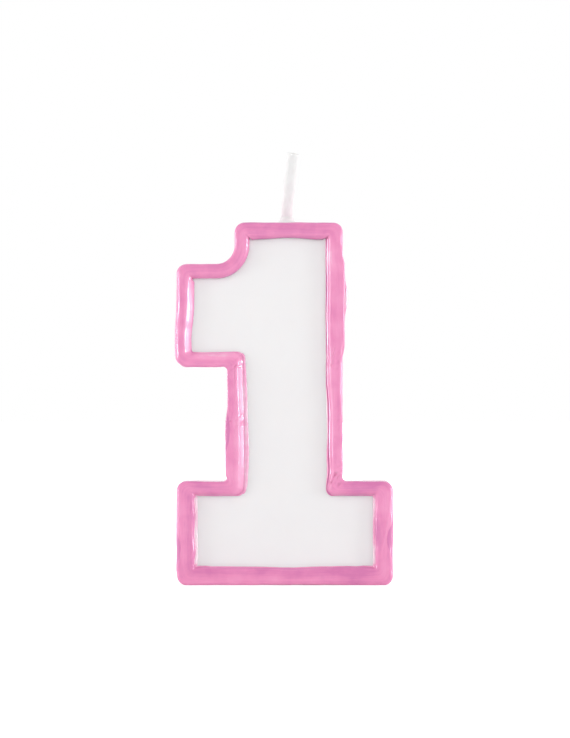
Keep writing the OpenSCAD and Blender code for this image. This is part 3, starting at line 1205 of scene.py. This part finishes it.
def makeCoat(length):
    bm = bmesh.new()
    bmesh.ops.create_circle(bm, segments=wickStyle["flats"], radius=wickRadius)
    extruded = bmesh.ops.extrude_edge_only(bm, edges=bm.edges[:])["geom"]
    top = [v for v in extruded if isinstance(v, bmesh.types.BMVert)]
    bmesh.ops.translate(bm, vec=(0, 0, length), verts=top)
    cutUpright(bm, length)
    bmesh.ops.recalc_face_normals(bm, faces=bm.faces[:])
    bm.normal_update()
    if bm.verts[:][0].normal.dot(bm.verts[:][0].co * Vector((1, 1, 0))) < 0:
        bmesh.ops.reverse_faces(bm, faces=bm.faces[:])
    held = figureHeight + wickStyle["freeFrom"] - wickFloor
    for vert in bm.verts:
        turn = math.atan2(vert.co.y, vert.co.x)
        free = smoothStep((vert.co.z - held) / wickStyle["freeRamp"])
        strands = math.cos(3 * (turn - math.tau * vert.co.z / wick["strandPitch"]))
        height = vert.co.z / wickStyle["lumpLength"]
        lump = wickStyle["lump"] * noise.noise(Vector((math.cos(turn) * 0.8, math.sin(turn) * 0.8, height)))
        fromTip = vert.co.z - held - wickStyle["tipFrom"]
        swellUp = wickStyle["tipSwell"] * smoothStep(fromTip / wickStyle["tipRamp"])
        radius = wickRadius + free * (wickStyle["strandRelief"] * (strands - 0.6) + lump + swellUp)
        end = smoothStep((vert.co.z - length + wickStyle["rimDepth"]) / wickStyle["rimDepth"])
        rise = end * wickStyle["rimRise"] * noise.noise(Vector((turn * 1.3, 4.0, 2.0)))
        vert.co = Vector((radius * math.cos(turn), radius * math.sin(turn), vert.co.z + rise))
    bendUpWick(bm.verts)
    bmesh.ops.solidify(bm, geom=bm.faces[:], thickness=wick["coatWall"])
    return finishPiece(bm, "wickCoat", dippedWickWax, ["wick_coat"])


def makePly(index, length):
    bundle = wickRadius - wick["coatWall"] - wick["coatGap"]
    plyRadius = bundle / (1 + 2 / math.sqrt(3)) - wickStyle["plyRoom"]
    helixRadius = plyRadius * 2 / math.sqrt(3)
    bm = bmesh.new()
    bmesh.ops.create_circle(bm, cap_ends=True, segments=wickStyle["plyFlats"], radius=plyRadius)
    extruded = bmesh.ops.extrude_face_region(bm, geom=bm.faces[:], use_keep_orig=True)["geom"]
    top = [v for v in extruded if isinstance(v, bmesh.types.BMVert)]
    bmesh.ops.translate(bm, vec=(0, 0, length - wickStyle["plyEnd"]), verts=top)
    cutUpright(bm, length)
    caps = [f for f in bm.faces if len(f.verts) > 4]
    bmesh.ops.recalc_face_normals(bm, faces=bm.faces[:])
    for thickness, depth in wickStyle["plySteps"]:
        bmesh.ops.inset_individual(bm, faces=caps, thickness=thickness, depth=depth, use_even_offset=True)
    strokes = bm.loops.layers.uv.new("strokes")
    for face in bm.faces:
        for loop in face.loops:
            co = loop.vert.co
            turn = math.atan2(co.y, co.x) % math.tau
            loop[strokes].uv = (co.z / strokeUnit, turn * plyRadius / strokeUnit)
    start = math.tau * index / 3
    for vert in bm.verts:
        turn = start + math.tau * vert.co.z / wick["strandPitch"]
        vert.co += Vector((helixRadius * math.cos(turn), helixRadius * math.sin(turn), 0))
    bendUpWick(bm.verts)
    return finishPiece(bm, f"wickPly{index + 1}", cottonYarn, [f"wick_ply_{index + 1}"])


collarStyle = {  # millimetres; the slope's points are a radius and a height
    "room": 0.01,
    "height": 1.10,
    "slope": [(1.75, 0.0), (1.62, 0.10), (1.42, 0.26), (1.30, 0.50), (1.25, 0.80), (1.22, 1.06)],
    "flats": 56,
    "footSpread": 0.45,
    "rimRise": 0.12,
}


def makeCollar():
    bm = bmesh.new()
    inside = wick["bore"] + collarStyle["room"]
    profile = [(inside, 0.0), *collarStyle["slope"], (inside, collarStyle["height"])]
    verts = [bm.verts.new((r, 0, h)) for r, h in profile]
    edges = [bm.edges.new(pair) for pair in zip(verts, verts[1:] + verts[:1])]
    bmesh.ops.spin(bm, geom=verts + edges, cent=(0, 0, 0), axis=(0, 0, 1), angle=math.tau,
                   steps=collarStyle["flats"], use_merge=True)
    for vert in bm.verts:
        turn = math.atan2(vert.co.y, vert.co.x)
        radius = vert.co.xy.length
        if radius > inside + collarStyle["room"] * 3:  # the wall that faces the wick stays round
            upward = vert.co.z / collarStyle["height"]
            around = noise.noise(Vector((math.cos(turn) * 1.4, math.sin(turn) * 1.4, 3.3)))
            spread = 0.35 + 0.35 * max(0.0, -math.cos(turn)) + 0.5 * around
            radius += (1 - min(1.0, upward)) ** 2 * collarStyle["footSpread"] * spread
            ragged = noise.noise(Vector((math.cos(turn) * 1.6, math.sin(turn) * 1.6, 8.0)))
            vert.co.z += smoothStep(upward) * collarStyle["rimRise"] * ragged
        vert.co.x, vert.co.y = radius * math.cos(turn), radius * math.sin(turn)
    bmesh.ops.translate(bm, vec=(wick["x"], 0, figureHeight), verts=bm.verts)
    bmesh.ops.remove_doubles(bm, verts=bm.verts[:], dist=0.0005)
    return finishPiece(bm, "wickCollar", dippedWickWax, ["wick_collar"])


bendAt = wick["bendStart"] - wickFloor
wickLean = math.radians(wick["lean"])
arcTop = wick["bendStart"] + wick["bendRadius"] * math.sin(wickLean)
leaningLength = (coatHigh.z / mm - arcTop) / math.cos(wickLean)
coatLength = bendAt + wickLean * wick["bendRadius"] + leaningLength - wick["tipRoom"]
makeCoat(coatLength)
for plyIndex in range(3):
    makePly(plyIndex, coatLength + wick["bareTip"])
makeCollar()


floorStyle = {  # metres
    "reach": 3.0,
    "shadowEnds": (0.03, 0.2),  # how far out the paper's own glow begins to rise, and where it is full
    "glow": (0.6, 1.0),
    "paper": "#e6e6e6",
}


# White paper, matte, and lit so that the eye sees no more of it than a soft shadow at the candle's foot.
def makeFloor():
    bm = bmesh.new()
    bmesh.ops.create_grid(bm, x_segments=1, y_segments=1, size=floorStyle["reach"])
    mesh = bpy.data.meshes.new("floor")
    bm.to_mesh(mesh)
    bm.free()
    material, tree = startMaterial("whitePaperSweep")
    place = addNode(tree, "TexCoord")
    away = addNode(tree, "VectorMath", {0: place.outputs["Object"]}, operation="LENGTH")
    glow = addNode(tree, "MapRange", {
        "Value": away.outputs["Value"],
        "From Min": floorStyle["shadowEnds"][0],
        "From Max": floorStyle["shadowEnds"][1],
        "To Min": floorStyle["glow"][0],
        "To Max": floorStyle["glow"][1],
    }, interpolation_type="SMOOTHSTEP")
    strength = addNode(tree, "Math", {0: glow.outputs[0], 1: findSeenRays(tree)}, operation="MULTIPLY")
    lit = addNode(tree, "Emission", {"Color": (1, 1, 1, 1), "Strength": strength.outputs[0]})
    paper = addNode(tree, "BsdfDiffuse", {"Color": linearColor(floorStyle["paper"])})
    both = addNode(tree, "AddShader", {0: lit.outputs[0], 1: paper.outputs[0]})
    addNode(tree, "OutputMaterial", {"Surface": both.outputs[0]})
    mesh.materials.append(material)
    addObject("floor", mesh)


makeFloor()

bpy.context.scene.view_settings.view_transform = "Standard"
